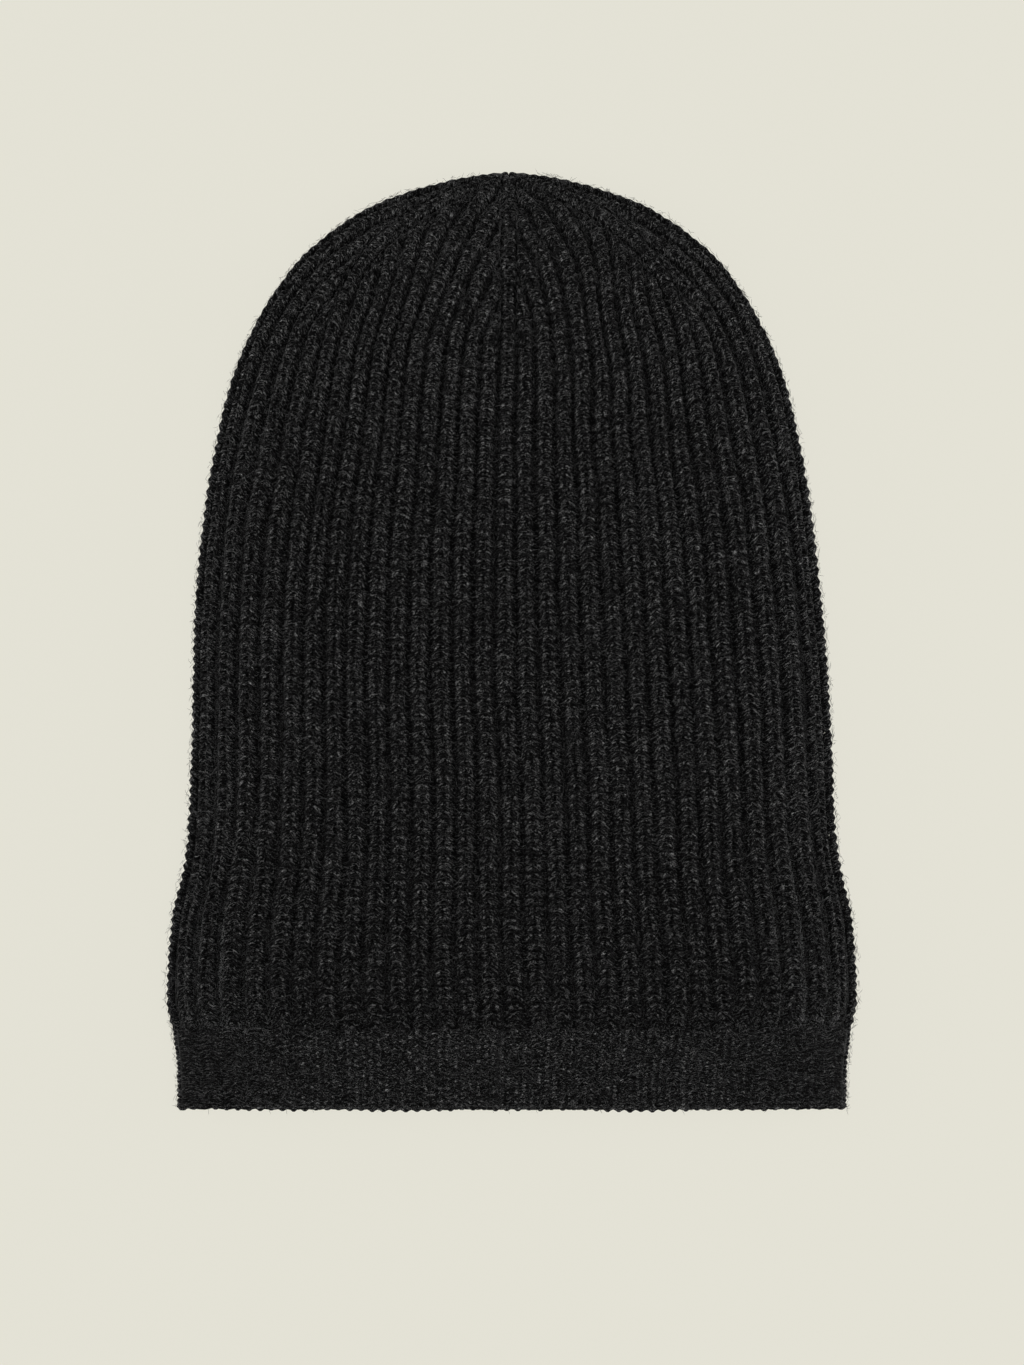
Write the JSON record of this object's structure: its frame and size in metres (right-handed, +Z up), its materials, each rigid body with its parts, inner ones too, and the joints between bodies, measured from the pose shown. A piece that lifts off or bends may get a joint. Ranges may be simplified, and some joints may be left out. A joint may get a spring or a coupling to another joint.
{
  "type": "ribbed beanie",
  "caption": "Slouch beanie in thick wool rib with a darted crown and a tight ribbed band, lying flat, hollow and open at the band.",
  "frame": {"origin": "on the surface that the beanie lies on, under the middle of its bounding box", "axes": "+Y from the brim edge to the crown tip, +Z up from the surface, +X to the right as seen from above with the crown at the top"},
  "size_m": [0.2258, 0.3064, 0.0248],
  "materials": {
    "body_knit": "charcoal melange wool, thick half-cardigan rib, matt and slightly hairy",
    "band_knit": "charcoal melange wool, tight fine rib, matt"
  },
  "bodies": {
    "root": {"crown_body": "body_knit", "brim_band": "band_knit"}
  },
  "joints": []
}
